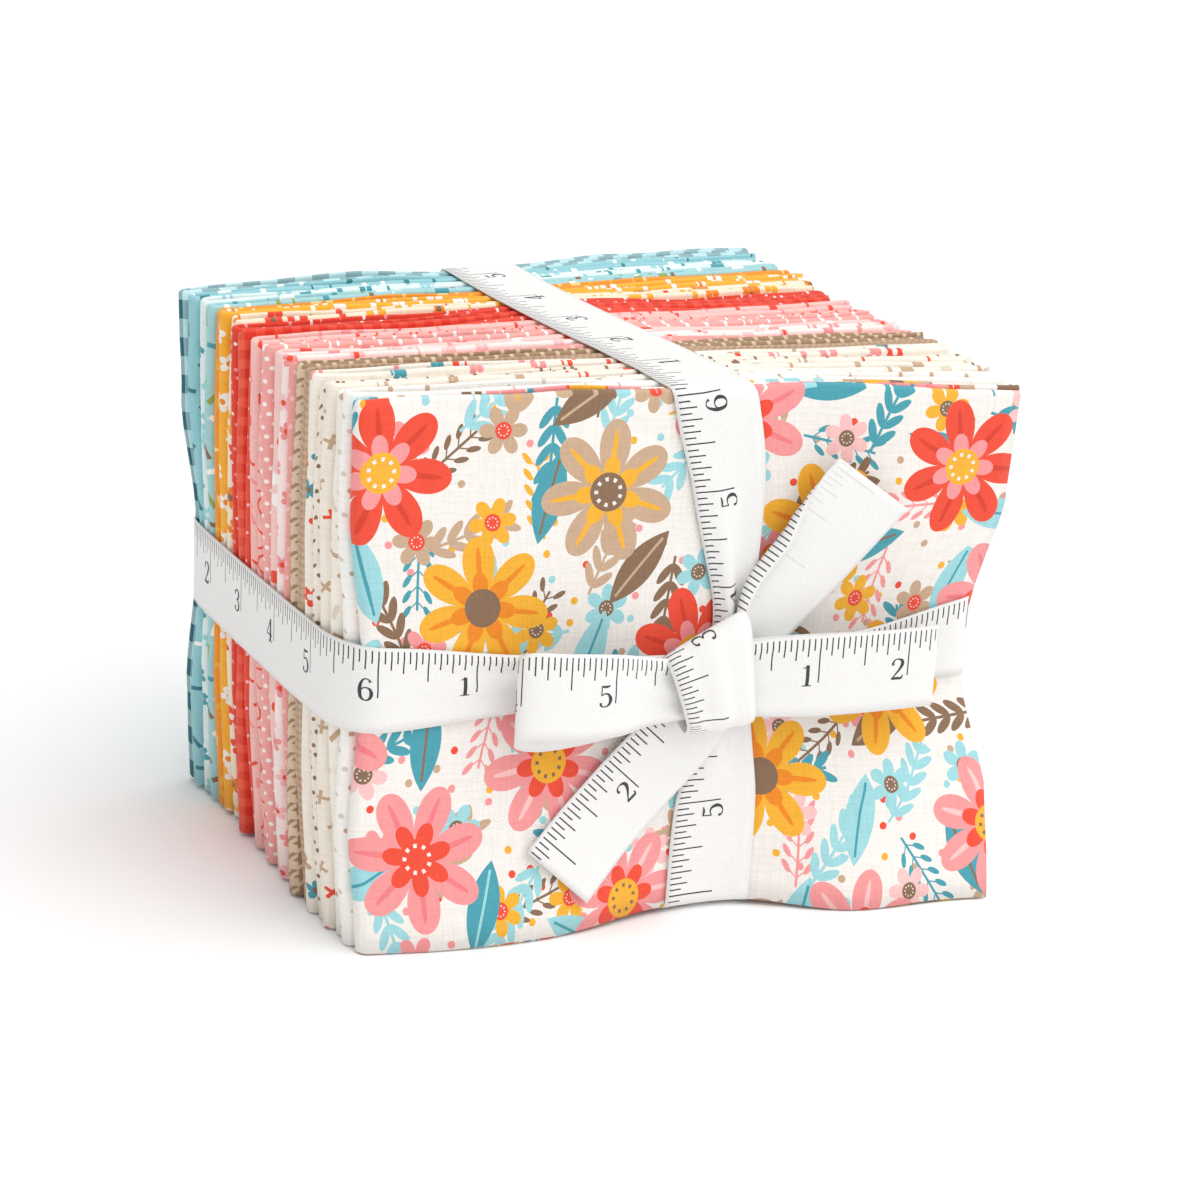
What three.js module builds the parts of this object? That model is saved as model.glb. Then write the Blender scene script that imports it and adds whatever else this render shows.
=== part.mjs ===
// A bundle of cotton fat quarters, folded, stood on edge and tied both ways with a ribbon in a bow.
// Millimetres, +Z up. The front of the stack faces -Y, the folded ends face -X.
import * as THREE from 'three';

// The stack
const halfWidth = 90; // from the middle to the folded ends
const stackHeight = 140; // up to the ribbon
const crown = 1; // how far the tallest pieces stand above that beside it
const frontMiddle = -66; // where the front face would lie with no ribbon around it
const backMiddle = 75;
const frontFan = 6.5; // the loose ends fan out: how far the front comes forward at the right end
const backFan = 11.5; // and how far the back goes back there
const curlOut = 14; // the lower right corner of the front curls forward
const curlIn = 5; // and in from the right
const sagging = 5; // the upper right corner of the front hangs down
const sagReach = 8; // how fast that fades towards the back
const drawIn = 5; // how deep the ribbon draws in the front
const backDraw = 1.5; // and the back
const rightSpread = 7; // the loose ends of the pieces at the back reach further to the right

// One fat quarter: three layers share the depth that it takes up in the stack
const layerSpacing = 1 / 3; // share of that depth from the middle of one layer to the next
const halfLayer = 0.135; // half a layer's thickness, as a share of that depth
const bendRadius = 1.7; // middle of the layer around the left bend
const returnRadius = 1; // and around the right bend
const halfSheet = 0.75; // half the layer's thickness in the bends
const bendSteps = [0, 45, 90, 135, 180];
const looseEnd = 1.6; // how far the first layer's cut end stays behind the right bend

// The ribbon
const ribbonWidth = 22;
const ribbonThickness = 1;
const clearance = 0.3; // air between two pieces that lie on each other
const uprightTop = 2; // where the upright band crosses the top, to the right of the middle
const uprightUnder = 8; // and where it crosses the underside
const uprightBow = 4; // how far the knot pulls its front run to the right
const levelMiddle = 70; // height of the level band in the middle
const levelFall = 2.5; // how far it falls from there to the right end, and rises to the left end
const crossingRoom = 6; // how far beside the upright band the level band has risen to pass over it
const crossingRise = 12; // over what length it rises
const ribbonColour = 0xf7f6f4;
const ribbonRoughness = 0.7;
const cottonRoughness = 0.9;

// How far the bands press into the stack all along, and how much further into its outermost pieces
const topNotch = { all: 0.4, edge: 1.4 };
const underNotch = { all: 2.2, edge: 1.4 }; // deep enough for the band to clear the table
const leftNotch = { all: 2, edge: 3 };
const rightNotch = { all: 4, edge: 4.5 };

const bandOffset = clearance + ribbonThickness / 2; // from the stack to the middle of a band
const bandStep = clearance + ribbonThickness; // how far one band rises over the other
const halfRibbon = ribbonWidth / 2;
const pressedLeft = uprightTop - halfRibbon; // the part of the stack that the bands press flat
const pressedRight = uprightUnder + halfRibbon;
const pressedLow = levelMiddle - halfRibbon - levelFall / 2;
const pressedHigh = levelMiddle + halfRibbon + levelFall / 2;

// How strongly the upright band draws the stack in, along its width
const drawAcross = [
  { x: -halfWidth, draw: 0 },
  { x: -36, draw: 0.5 },
  { x: pressedLeft, draw: 1 },
  { x: pressedRight, draw: 1 },
  { x: 46, draw: 0.5 },
  { x: halfWidth, draw: 0 },
];

// How strongly the level band draws the stack in, up its height
const drawUp = [
  { z: 0, draw: 0 },
  { z: 30, draw: 0.5 },
  { z: pressedLow, draw: 1 },
  { z: pressedHigh, draw: 1 },
  { z: 111, draw: 0.5 },
  { z: stackHeight, draw: 0 },
];

// Where a band bends round the stack it presses the outermost pieces further in than the rest
const edgePress = [
  { share: 0, press: 1 },
  { share: 0.12, press: 0.2 },
  { share: 0.3, press: 0 },
  { share: 0.7, press: 0 },
  { share: 0.88, press: 0.05 },
  { share: 1, press: 0.3 },
];

// The fat quarters from front to back. left, right and top: how far a piece stays behind the stack's
// outline there. low and high: how much further its left end is pushed in at the bottom and the top.
// flap: where its third layer ends.
const fatQuarters = [
  { colour: 0xf4ede4, left: 0.6, right: 0.0, top: 0.6, low: 1.0, high: 0.0, flap: 2 },
  { colour: 0xf6f2ec, left: 0.0, right: 1.8, top: 0.0, low: 0.6, high: 0.4, flap: -4 },
  { colour: 0xf3ece2, left: 1.1, right: 0.6, top: 1.3, low: 1.6, high: 0.2, flap: 6 },
  { colour: 0xf2e9dd, left: 0.4, right: 2.6, top: 0.5, low: 0.2, high: 0.9, flap: 0 },
  { colour: 0xefe3d3, left: 1.3, right: 1.2, top: 1.7, low: 1.2, high: 0.0, flap: 8 },
  { colour: 0xeadfd2, left: 0.3, right: 3.1, top: 0.3, low: 0.0, high: 0.7, flap: -2 },
  { colour: 0xa98a70, left: 1.0, right: 0.9, top: 1.1, low: 1.5, high: 0.3, flap: 4 },
  { colour: 0x9a7a60, left: 0.2, right: 2.2, top: 0.4, low: 0.5, high: 0.8, flap: -3 },
  { colour: 0xe9a3a0, left: 1.4, right: 0.4, top: 1.8, low: 0.9, high: 0.1, flap: 7 },
  { colour: 0xf6dcd8, left: 0.5, right: 2.8, top: 0.7, low: 0.1, high: 1.0, flap: 1 },
  { colour: 0xf5c9c5, left: 1.1, right: 1.5, top: 1.4, low: 1.7, high: 0.4, flap: -4 },
  { colour: 0xf2a9a6, left: 0.0, right: 3.4, top: 0.2, low: 0.3, high: 0.0, flap: 5 },
  { colour: 0xf4b5b0, left: 0.9, right: 0.8, top: 1.6, low: 1.1, high: 0.6, flap: 9 },
  { colour: 0xf6bdb8, left: 0.3, right: 2.4, top: 0.6, low: 0.4, high: 0.2, flap: -1 },
  { colour: 0xe8462f, left: 1.2, right: 1.1, top: 1.2, low: 1.4, high: 0.8, flap: 3 },
  { colour: 0xe2402b, left: 0.1, right: 2.9, top: 0.1, low: 0.0, high: 0.3, flap: -5 },
  { colour: 0xd63a28, left: 0.8, right: 0.3, top: 0.9, low: 1.0, high: 0.0, flap: 6 },
  { colour: 0xf3e2c4, left: 1.5, right: 2.0, top: 1.9, low: 0.6, high: 0.7, flap: 0 },
  { colour: 0xf7b437, left: 0.4, right: 3.2, top: 0.5, low: 1.3, high: 0.5, flap: 8 },
  { colour: 0xf29a2b, left: 1.0, right: 0.7, top: 1.5, low: 0.2, high: 0.9, flap: -3 },
  { colour: 0x8cc6cb, left: 0.2, right: 2.5, top: 0.8, low: 1.6, high: 0.1, flap: 4 },
  { colour: 0xcfe6e6, left: 1.3, right: 1.4, top: 1.7, low: 0.7, high: 0.4, flap: -2 },
  { colour: 0x9bd0d6, left: 0.6, right: 2.1, top: 0.3, low: 0.1, high: 0.8, flap: 5 },
  { colour: 0x4e9fa8, left: 0.0, right: 0.0, top: 0.0, low: 0.9, high: 0.2, flap: 1 },
];

// The bow. proud: how far a point stands out from the face under the bands. half: half the ribbon's
// width there, less where the knot gathers it.
const loopHeight = 66;
const loopLeft = [
  { x: -1, proud: 8.1, half: 7 },
  { x: -13, proud: 8.6, half: 8.6 },
  { x: -24, proud: 12, half: 10.6 },
  { x: -38, proud: 13.6, half: 11 },
  { x: -47, proud: 13, half: 11 },
  { x: -50, proud: 10.6, half: 11 },
  { x: -48, proud: 8, half: 11 },
  { x: -40, proud: 6.4, half: 11 },
  { x: -26, proud: 5.2, half: 10.6 },
  { x: -13, proud: 5.2, half: 8.6 },
  { x: -1, proud: 5.4, half: 7 },
];
const loopRight = [
  { x: 3, proud: 8.1, half: 7 },
  { x: 17, proud: 8.8, half: 9.4 },
  { x: 32, proud: 11.2, half: 11 },
  { x: 50, proud: 12, half: 11 },
  { x: 63, proud: 11.4, half: 11 },
  { x: 66.5, proud: 9.2, half: 11 },
  { x: 64, proud: 7, half: 11 },
  { x: 52, proud: 5.6, half: 11 },
  { x: 34, proud: 5, half: 11 },
  { x: 17, proud: 5.2, half: 9.4 },
  { x: 3, proud: 5.4, half: 7 },
];

// The knot is one turn of ribbon around the roots of the loops, between a left and a right edge
const knot = {
  left: { x: -8.5, bottom: 53.5, top: 77 },
  right: { x: 11.5, bottom: 54.5, top: 85 },
};
const knotLean = -0.22; // how far its edges lean to the left, for each millimetre of height
const knotBack = 3.4; // how far the turn stands proud behind the loops
const knotFront = 10.4; // and in front of them
const knotCorner = 2.6; // how far the turn is rounded where it goes over and under the loops

// The tails, from the knot to the cut end. turn: direction of the tail, in degrees from +X.
const tailUp = {
  turn: 55,
  rows: [
    { x: 20.5, z: 82.5, proud: 3.4 },
    { x: 27.5, z: 93.2, proud: 4.6 },
    { x: 35.5, z: 104.5, proud: 6.2 },
    { x: 43.2, z: 116, proud: 7.2 },
  ],
};
const tailDown = {
  turn: 227,
  rows: [
    { x: -2.8, z: 50.8, proud: 3.4 },
    { x: -13.3, z: 39.4, proud: 3.6 },
    { x: -24.1, z: 28.1, proud: 5.2 },
    { x: -34.8, z: 16.9, proud: 6.2 },
  ],
};

const pieces = new THREE.Group();
const count = fatQuarters.length;

// Reads one column of a table between its rows, in a straight line from row to row
function read(rows, where, what, at) {
  let row = 0;
  while (row < rows.length - 2 && at > rows[row + 1][where]) {
    row += 1;
  }
  const low = rows[row];
  const high = rows[row + 1];
  const share = (at - low[where]) / (high[where] - low[where]);
  return THREE.MathUtils.lerp(low[what], high[what], share);
}

// How strongly both bands together draw in a face, from 0 to 1
function drawnIn(x, z) {
  const across = THREE.MathUtils.clamp(read(drawAcross, 'x', 'draw', x), 0, 1);
  const up = THREE.MathUtils.clamp(read(drawUp, 'z', 'draw', z), 0, 1);
  return across + up - across * up;
}

// From 0 at the bands to 1 at the right end and at the bottom
const outRight = (x) => Math.max(0, (x - pressedRight) / (halfWidth - pressedRight));
const outBelow = (z) => Math.max(0, 1 - z / pressedLow);

function frontFace(x, z) {
  const curl = curlOut * outRight(x) * outBelow(z);
  return frontMiddle - frontFan * x / halfWidth + drawIn * drawnIn(x, z) - curl;
}

function backFace(x, z) {
  return backMiddle + backFan * x / halfWidth - backDraw * drawnIn(x, z);
}

// Depth in the stack: share runs from 0 at the front to 1 at the back
function depth(x, z, share) {
  return THREE.MathUtils.lerp(frontFace(x, z), backFace(x, z), share);
}

const pressed = (notch, share) => notch.all + notch.edge * read(edgePress, 'share', 'press', share);
const bandTop = (share) => stackHeight - pressed(topNotch, share);
const bandUnder = (share) => pressed(underNotch, share);
const bandLeft = (share) => -halfWidth + pressed(leftNotch, share);
const bandRight = (share) => halfWidth + rightSpread * share - pressed(rightNotch, share);

// A share of 1 under the upright band, falling to 0 at the next fold on either side
const underUpright = (x) => THREE.MathUtils.clamp(2 * read(drawAcross, 'x', 'draw', x) - 1, 0, 1);
const underLevel = (z) => THREE.MathUtils.clamp(2 * read(drawUp, 'z', 'draw', z) - 1, 0, 1);

function topOf(piece, x, share) {
  const sag = sagging * outRight(x) * Math.exp(-sagReach * share);
  return THREE.MathUtils.lerp(stackHeight + crown - piece.top - sag, bandTop(share), underUpright(x));
}

const bottomOf = (x, share) => bandUnder(share) * underUpright(x);

function leftOf(piece, z, share) {
  const lean = z < levelMiddle ? piece.low * (1 - z / levelMiddle) : piece.high * (z / levelMiddle - 1);
  return THREE.MathUtils.lerp(-halfWidth + piece.left + lean, bandLeft(share), underLevel(z));
}

function rightOf(piece, z, share) {
  const free = halfWidth - piece.right + rightSpread * share - curlIn * outBelow(z) * (1 - share);
  return THREE.MathUtils.lerp(free, bandRight(share), underLevel(z));
}

// One fat quarter in plan at a given height, as pairs of points on the two sides of its sheet:
// the first layer from right to left, the left bend, the second layer back to the right, where it
// moves to the middle, the right bend, and the third layer to its cut end. depth is a share of the
// piece's own place in the stack.
function section(piece, index, z) {
  const first = 0.5 - layerSpacing;
  const third = 0.5 + layerSpacing;
  const returning = 0.5 + layerSpacing / 2;
  const stops = drawAcross.slice(1, -1).map((row) => row.x);
  const leftEnd = leftOf(piece, z, (index + 0.5) / count);
  const rightEnd = rightOf(piece, z, (index + returning) / count);
  const pairs = [];
  const straight = (x, middle, facing) => pairs.push([
    { x, depth: middle - facing * halfLayer },
    { x, depth: middle + facing * halfLayer },
  ]);
  const bend = (x, middle, spread, radius, facing) => bendSteps.forEach((step) => {
    const angle = THREE.MathUtils.degToRad(step);
    pairs.push([1, -1].map((side) => ({
      x: x - facing * (radius + side * facing * halfSheet) * Math.sin(angle),
      depth: middle - (spread + side * facing * halfLayer) * Math.cos(angle),
    })));
  });
  straight(rightEnd - looseEnd, first, 1);
  stops.toReversed().forEach((x) => straight(x, first, 1));
  bend(leftEnd + bendRadius + halfSheet, 0.5, layerSpacing, bendRadius, 1);
  stops.forEach((x) => straight(x, x < pressedLeft ? third : 0.5, -1));
  bend(rightEnd - returnRadius - halfSheet, returning, layerSpacing / 2, returnRadius, -1);
  stops.toReversed().filter((x) => x > piece.flap).forEach((x) => straight(x, third, 1));
  straight(piece.flap, third, 1);
  return pairs;
}

// A closed solid from the two sides of a sheet, each a grid of points [along][across]. Every quad is
// split along the diagonal that rises to the right, so that sheets that lie together bend alike.
function sheetSolid(front, back, ring) {
  const along = front.length;
  const across = front[0].length;
  const edge = across - 1;
  const points = [...front.flat(), ...back.flat()];
  const at = (side, k, j) => (side * along + k % along) * across + j;
  const faces = [];
  const quad = (a, b, c, d) => {
    const rise = points[c].clone().sub(points[a]);
    const rising = rise.x * rise.z >= 0;
    faces.push(...(rising ? [a, c, b, a, d, c] : [a, d, b, b, d, c]));
  };
  for (let k = 0; k < (ring ? along : along - 1); k += 1) {
    for (let j = 0; j < edge; j += 1) {
      quad(at(0, k, j), at(0, k + 1, j), at(0, k + 1, j + 1), at(0, k, j + 1));
      quad(at(1, k, j), at(1, k, j + 1), at(1, k + 1, j + 1), at(1, k + 1, j));
    }
    quad(at(0, k, 0), at(1, k, 0), at(1, k + 1, 0), at(0, k + 1, 0));
    quad(at(0, k, edge), at(0, k + 1, edge), at(1, k + 1, edge), at(1, k, edge));
  }
  for (let j = 0; j < edge && !ring; j += 1) {
    const end = along - 1;
    quad(at(0, 0, j), at(0, 0, j + 1), at(1, 0, j + 1), at(1, 0, j));
    quad(at(0, end, j + 1), at(0, end, j), at(1, end, j), at(1, end, j + 1));
  }
  const geometry = new THREE.BufferGeometry().setFromPoints(points);
  geometry.setIndex(faces);
  geometry.computeVertexNormals();
  return geometry;
}

function add(name, geometry, colour, roughness) {
  const material = new THREE.MeshStandardMaterial({ color: colour, roughness, metalness: 0 });
  const mesh = new THREE.Mesh(geometry, material);
  mesh.name = name;
  pieces.add(mesh);
}

function fatQuarter(piece, index) {
  const heights = drawUp.map((row) => row.z);
  const sections = heights.map((z) => section(piece, index, z));
  const side = (which) => sections[0].map((_, k) => heights.map((z, j) => {
    const point = sections[j][k][which];
    const share = (index + point.depth) / count;
    const ends = { 0: bottomOf(point.x, share), [stackHeight]: topOf(piece, point.x, share) };
    return new THREE.Vector3(point.x, depth(point.x, z, share), ends[z] ?? z);
  }));
  const name = `fat_quarter_${String(index + 1).padStart(2, '0')}`;
  add(name, sheetSolid(side(0), side(1), false), piece.colour, cottonRoughness);
}

// Follows an outline at a distance, to the side that axis x direction points to. lift: extra distance
// at a corner. turn: the ribbon bends sharply there, so the corner is rounded.
function follow(outline, axis, offset, ring) {
  const stations = [];
  outline.forEach((corner, n) => {
    const before = ring || n > 0 ? outline.at(n - 1).point : null;
    const after = ring || n < outline.length - 1 ? outline[(n + 1) % outline.length].point : null;
    const into = corner.point.clone().sub(before ?? corner.point).normalize();
    const out = (after ?? corner.point).clone().sub(corner.point).normalize();
    const between = into.clone().add(out).normalize();
    (corner.turn ? [into, between, out] : [between]).forEach((way) => {
      const normal = axis.clone().cross(way).normalize();
      const middle = corner.point.clone().addScaledVector(normal, offset + (corner.lift ?? 0));
      stations.push({ middle, normal });
    });
  });
  return stations;
}

// A run of ribbon between the two lists of stations along its edges
function ribbon(name, edges, ring) {
  const side = (sign) => edges[0].map((_, k) => edges.map((edge) => (
    edge[k].middle.clone().addScaledVector(edge[k].normal, sign * ribbonThickness / 2)
  )));
  add(name, sheetSolid(side(1), side(-1), ring), ribbonColour, ribbonRoughness);
}

const axisX = new THREE.Vector3(1, 0, 0);
const axisZ = new THREE.Vector3(0, 0, 1);
const pressShares = edgePress.map((row) => row.share);
const corner = (x, y, z, more) => ({ point: new THREE.Vector3(x, y, z), ...more });
const isEnd = (share) => share === 0 || share === 1;

// Up the front, where the knot pulls it over, over the top, down the back and under
function uprightBand() {
  const middleAt = (z) => THREE.MathUtils.lerp(uprightUnder, uprightTop, z / stackHeight);
  const bowAt = (z) => uprightBow * Math.sin(Math.PI * z / stackHeight);
  const heights = drawUp.slice(1, -1).map((row) => row.z);
  const edges = [-halfRibbon, halfRibbon].map((edge) => {
    const around = (z, s, bow, turn) => {
      const x = edge + middleAt(z) + bow;
      return corner(x, depth(x, z, s), z, { turn });
    };
    const front = heights.map((z) => around(z, 0, bowAt(z), false));
    const top = pressShares.map((s) => around(bandTop(s), s, 0, isEnd(s)));
    const back = heights.toReversed().map((z) => around(z, 1, 0, false));
    const under = pressShares.toReversed().map((s) => around(bandUnder(s), s, 0, isEnd(s)));
    return follow([...front, ...top, ...back, ...under], axisX, bandOffset, true);
  });
  ribbon('ribbon_band_upright', edges, true);
}

// Along the folded ends, the back, the loose ends and the front, over the upright band where they cross
function levelBand() {
  const crossing = [
    { x: pressedLeft - crossingRoom - crossingRise, lift: 0 },
    { x: pressedLeft - crossingRoom, lift: bandStep },
    { x: pressedRight + crossingRoom, lift: bandStep },
    { x: pressedRight + crossingRoom + crossingRise, lift: 0 },
  ];
  const edges = [-halfRibbon, halfRibbon].map((edge) => {
    const around = (x, s, more) => {
      const z = levelMiddle + edge - levelFall * x / halfWidth;
      return corner(x, depth(x, z, s), z, more);
    };
    const left = pressShares.map((s) => around(bandLeft(s), s, { turn: isEnd(s) }));
    const back = crossing.map(({ x, lift }) => around(x, 1, { lift }));
    const right = pressShares.toReversed().map((s) => around(bandRight(s), s, { turn: isEnd(s) }));
    const front = crossing.toReversed().map(({ x, lift }) => around(x, 0, { lift }));
    return follow([...left, ...back, ...right, ...front], axisZ, bandOffset, true);
  });
  ribbon('ribbon_band_level', edges, true);
}

// A point that stands proud of the face under the bands
const onFront = (x, z, proud) => corner(x, frontFace(x, levelMiddle) - proud, z);

function bowLoop(name, rows) {
  const edges = [-1, 1].map((side) => follow(
    rows.map((row) => onFront(row.x, loopHeight + side * row.half, row.proud)),
    axisZ,
    0,
    false,
  ));
  ribbon(name, edges, false);
}

function bowKnot() {
  const edges = [knot.left, knot.right].map((side) => {
    const at = (z, proud) => onFront(side.x + knotLean * (z - loopHeight), z, proud);
    return follow([
      at(side.bottom + knotCorner, knotFront),
      at(side.top - knotCorner, knotFront),
      at(side.top, knotFront - knotCorner),
      at(side.top, knotBack + knotCorner),
      at(side.top - knotCorner, knotBack),
      at(side.bottom + knotCorner, knotBack),
      at(side.bottom, knotBack + knotCorner),
      at(side.bottom, knotFront - knotCorner),
    ], axisX, 0, true);
  });
  ribbon('bow_knot', edges, true);
}

function bowTail(name, tail) {
  const turn = THREE.MathUtils.degToRad(tail.turn);
  const across = new THREE.Vector3(-Math.sin(turn), 0, Math.cos(turn));
  const edges = [-1, 1].map((side) => follow(
    tail.rows.map((row) => {
      const x = row.x + side * across.x * halfRibbon;
      const z = row.z + side * across.z * halfRibbon;
      return onFront(x, z, row.proud);
    }),
    across,
    0,
    false,
  ));
  ribbon(name, edges, false);
}

fatQuarters.forEach(fatQuarter);
uprightBand();
levelBand();
bowLoop('bow_loop_left', loopLeft);
bowLoop('bow_loop_right', loopRight);
bowKnot();
bowTail('bow_tail_up', tailUp);
bowTail('bow_tail_down', tailDown);

// The origin lies under the middle of the whole bundle
const box = new THREE.Box3().setFromObject(pieces);
const middle = box.getCenter(new THREE.Vector3());
pieces.position.set(-middle.x, -middle.y, -box.min.z);

export default pieces;
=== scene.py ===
# A bundle of cotton fat quarters, folded, stood on edge and tied both ways with a printed ribbon in a bow
import functools
import math
import bpy
import numpy as np
from mathutils import Matrix, Vector


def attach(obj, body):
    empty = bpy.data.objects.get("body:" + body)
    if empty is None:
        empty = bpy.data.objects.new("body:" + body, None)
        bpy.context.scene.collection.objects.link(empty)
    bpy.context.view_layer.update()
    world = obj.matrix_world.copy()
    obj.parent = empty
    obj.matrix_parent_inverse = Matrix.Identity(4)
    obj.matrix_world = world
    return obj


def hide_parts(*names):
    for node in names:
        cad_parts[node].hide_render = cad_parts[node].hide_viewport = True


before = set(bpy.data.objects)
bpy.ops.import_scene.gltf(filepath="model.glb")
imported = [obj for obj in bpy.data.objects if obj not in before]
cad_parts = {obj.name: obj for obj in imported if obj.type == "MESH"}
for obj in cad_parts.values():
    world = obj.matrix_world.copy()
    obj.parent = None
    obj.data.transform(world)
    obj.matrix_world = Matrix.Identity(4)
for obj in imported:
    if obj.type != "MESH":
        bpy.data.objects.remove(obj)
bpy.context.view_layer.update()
mm = 0.001  # sizes below are in millimetres, meshes in metres
inch = 25.4
clothNodes = sorted(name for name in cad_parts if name.startswith("fat_quarter"))
count = len(clothNodes)
print("frame loaded:", count, "fat quarters")


# The form of the stack

stack = {
    "origin": (-3.45, -1.47, 0),  # the stack's own middle, seen from the frame's origin
    "halfWidth": 90,
    "height": 140,
    "crown": 1,  # how far the tallest pieces stand above the ribbon
    "frontMiddle": -66,
    "backMiddle": 75,
    "frontFan": 6.5,  # the loose ends fan out to the front and to the back
    "backFan": 11.5,
    "curlOut": 14,  # the lower right corner of the front curls forward and in
    "curlIn": 4.6,
    "curlEase": 1.2,
    "belly": 9,  # the front bulges out below the knot, to its left and right
    "bellies": [(-40, 42), (48, 26)],  # middle and reach of each bulge
    "bellyEase": 1.3,
    "sag": 5,  # the upper right corner of the front hangs down
    "sagReach": 8,
    "leftRise": 1.5,  # the folded ends at the back stand a little higher
    "backRise": 3.2,  # and the tops of the pieces there stand up between their ends
    "riseMiddle": 25,
    "riseReach": 115,
    "drawIn": 5,  # how deep the ribbon draws in the front, and the back
    "backDraw": 1.5,
    "rightSpread": 7,  # the loose ends at the back reach further to the right
    "cornerPress": 4,  # how much further the level band presses in the left corners
    "frontCorner": (1, 0.05),  # what share of that, and over what share of the depth
    "backCorner": (0.05, 0.2),
    "pressedX": (-9, 19),  # what the bands press flat
    "pressedZ": (55.5, 80),
    "halfDrawnX": (-36, 46),  # where they still draw in the stack half as deep
    "halfDrawnZ": (29, 109),
    "pressEdge": (2.2, 1.15),  # how sharply that ends beside a band
    "softX": 14,  # over what length a fold beside a band rounds off
    "softZ": 12,
    "edgePress": [  # how the press on the outermost pieces fades inwards: share of the depth, of the press
        (0, 1), (0.12, 0.2), (0.3, 0), (0.7, 0), (0.88, 0.05), (1, 0.3)],
    "edgeSoft": 0.02,
}
notches = {  # how far a band presses in all along, and how much further at the outermost pieces
    "top": (0, 1.2),
    "under": (1.4, 0.2),
    "left": (2, 3),
    "right": (2.2, 2.8),
}


def softTable(rows, reach, steps=400):  # reads a table in straight lines that are rounded off over reach
    where, value = np.array(rows, float).T
    fine = np.linspace(where[0], where[-1], steps)
    width = max(1, int(reach / (fine[1] - fine[0])))
    window = np.hanning(2 * width + 1)
    padded = np.pad(np.interp(fine, where, value), width, mode="edge")
    soft = np.convolve(padded, window / window.sum(), mode="valid")
    return lambda at: np.interp(at, fine, soft)


def drawTable(ends, half, full, reach):  # how far a band draws in the stack, from one end to the other
    rows = [(ends[0], 0), (half[0], 0.5), (full[0], 1), (full[1], 1), (half[1], 0.5), (ends[1], 0)]
    return softTable(rows, reach)


sides = (-stack["halfWidth"], stack["halfWidth"])
drawAcross = drawTable(sides, stack["halfDrawnX"], stack["pressedX"], stack["softX"])
drawUp = drawTable((0, stack["height"]), stack["halfDrawnZ"], stack["pressedZ"], stack["softZ"])
edgePress = softTable(stack["edgePress"], stack["edgeSoft"])


def mix(a, b, share):
    return a + (b - a) * share


def drawnIn(x, z):
    across = drawAcross(x)
    up = drawUp(z)
    return across + up - across * up


def outRight(x):  # 0 at the ribbon, 1 at the right end
    edge = stack["pressedX"][1]
    return np.maximum(0, (x - edge) / (stack["halfWidth"] - edge))


def outBelow(z):  # 0 at the ribbon, 1 at the bottom
    return np.maximum(0, 1 - z / stack["pressedZ"][0])


def frontFace(x, z):
    curl = stack["curlOut"] * outRight(x) ** stack["curlEase"] * outBelow(z) ** stack["curlEase"]
    belly = sum(np.exp(-((x - middle) / reach) ** 2) for middle, reach in stack["bellies"])
    bulge = stack["belly"] * belly * outBelow(z) ** stack["bellyEase"]
    flat = stack["frontMiddle"] - stack["frontFan"] * x / stack["halfWidth"]
    return flat + stack["drawIn"] * drawnIn(x, z) - curl - bulge


def backFace(x, z):
    flat = stack["backMiddle"] + stack["backFan"] * x / stack["halfWidth"]
    return flat - stack["backDraw"] * drawnIn(x, z)


def depthAt(x, z, share):  # share runs from 0 at the front of the stack to 1 at its back
    return mix(frontFace(x, z), backFace(x, z), share)


def onStack(x, z, share, out=0):  # points on the stack, moved back by out
    return np.stack([x, depthAt(x, z, share) + out, z + 0 * x], -1)


def pressed(side, share):
    allAlong, atEdge = notches[side]
    return allAlong + atEdge * edgePress(share)


def topRise(x, share):
    hump = np.clip(1 - ((x - stack["riseMiddle"]) / stack["riseReach"]) ** 2, 0, 1)
    return stack["backRise"] * share ** 4 * hump


def bandTop(share):
    return stack["height"] - pressed("top", share) + topRise(0, share)


def bandUnder(share):
    return pressed("under", share)


def bandLeft(share):  # the front corner is rounded off most
    atFront, frontReach = stack["frontCorner"]
    atBack, backReach = stack["backCorner"]
    corners = atFront * np.exp(-share / frontReach) + atBack * np.exp((share - 1) / backReach)
    return -stack["halfWidth"] + pressed("left", share) + stack["cornerPress"] * corners


def bandRight(share):
    return stack["halfWidth"] + stack["rightSpread"] * share - pressed("right", share)


def underBand(draw):  # 1 under a band, 0 well beside it
    slope, start = stack["pressEdge"]
    return np.clip(slope * draw - start, 0, 1)


def underUpright(x):
    return underBand(drawAcross(x))


def underLevel(z):
    return underBand(drawUp(z))


# Meshes, materials and the parts they are made of

def addObject(name, data):
    made = bpy.data.objects.new(name, data)
    bpy.context.collection.objects.link(made)
    return made


def addMesh(name, points, faces, corners, material):  # corners: flat cloth place of each face corner, metres
    mesh = bpy.data.meshes.new(name)
    mesh.from_pydata((np.asarray(points) + stack["origin"]) * mm, [], faces)
    flat = mesh.uv_layers.new(name="flat")
    flat.data.foreach_set("uv", np.asarray(corners, float).ravel())
    mesh.shade_smooth()
    mesh.materials.append(material)
    return addObject(name, mesh)


def cover(material, colour, relief=None):  # joins what was drawn to the shader
    shader = material.node_tree.nodes["Principled BSDF"]
    material.node_tree.links.new(colour, shader.inputs["Base Color"])
    if relief is not None:
        material.node_tree.links.new(relief, shader.inputs["Normal"])
    return material


def linear(code):  # sRGB hex to linear
    parts = [int(code[n:n + 2], 16) / 255 for n in (1, 3, 5)]
    return [c / 12.92 if c <= 0.04045 else ((c + 0.055) / 1.055) ** 2.4 for c in parts] + [1]


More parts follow.
